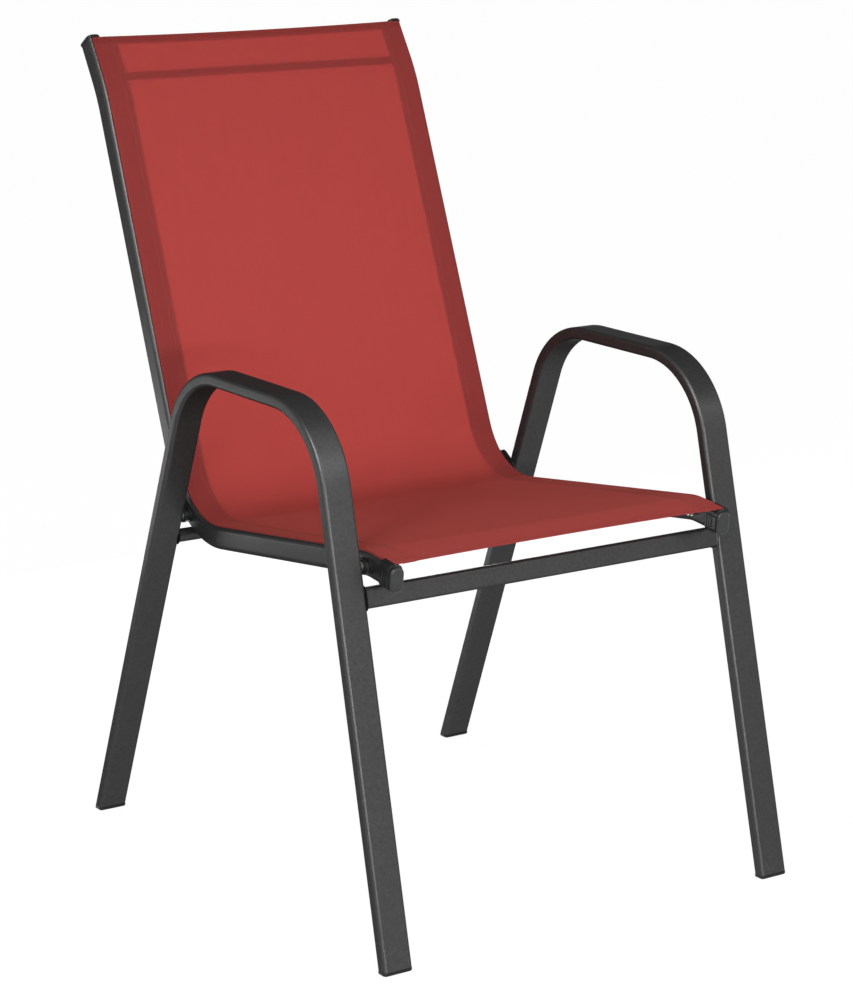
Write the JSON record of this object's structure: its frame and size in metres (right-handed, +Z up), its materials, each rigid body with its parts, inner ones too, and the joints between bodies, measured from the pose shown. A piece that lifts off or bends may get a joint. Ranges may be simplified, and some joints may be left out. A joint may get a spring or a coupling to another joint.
{
  "type": "sling patio chair",
  "caption": "Stacking patio chair with bent tube leg-and-arm hoops and a sling of mesh cloth stretched between curved side rails.",
  "frame": {"origin": "on the floor, under the middle of the chair's bounding box", "axes": "+Z up; +Y from the front of the chair to its back; +X across it, to the right as seen from in front. Left and right in node names are also as seen from in front."},
  "size_m": [0.5536, 0.7478, 0.9534],
  "materials": {
    "frame_powder_coat": "charcoal powder coat, satin with a fine texture",
    "black_plastic": "matte moulded",
    "cap_plastic": "matte moulded, dark grey",
    "sling_fabric": "PVC coated polyester mesh, matte brick red",
    "edge_cord": "smooth",
    "zinc_steel": "zinc plated"
  },
  "bodies": {
    "root": {"left_leg_hoop": "frame_powder_coat", "left_front_foot": "black_plastic", "left_rear_foot": "black_plastic", "left_sling_rail": "frame_powder_coat", "left_keder_rod": "edge_cord", "left_rail_front_cap": "cap_plastic", "left_rail_top_cap": "black_plastic", "left_spreader_spigot": "zinc_steel", "left_front_spacer": "black_plastic", "left_front_washer": "zinc_steel", "left_front_bolt": "zinc_steel", "left_front_rivet_nut": "zinc_steel", "left_rear_spacer": "black_plastic", "left_rear_washer": "zinc_steel", "left_rear_bolt": "zinc_steel", "left_rear_rivet_nut": "zinc_steel", "right_leg_hoop": "frame_powder_coat", "right_front_foot": "black_plastic", "right_rear_foot": "black_plastic", "right_sling_rail": "frame_powder_coat", "right_keder_rod": "edge_cord", "right_rail_front_cap": "cap_plastic", "right_rail_top_cap": "black_plastic", "right_spreader_spigot": "zinc_steel", "right_front_spacer": "black_plastic", "right_front_washer": "zinc_steel", "right_front_bolt": "zinc_steel", "right_front_rivet_nut": "zinc_steel", "right_rear_spacer": "black_plastic", "right_rear_washer": "zinc_steel", "right_rear_bolt": "zinc_steel", "right_rear_rivet_nut": "zinc_steel", "front_crossbar": "frame_powder_coat", "rear_crossbar": "frame_powder_coat", "upper_back_spreader": "frame_powder_coat", "sling_cloth": "sling_fabric"}
  },
  "joints": []
}
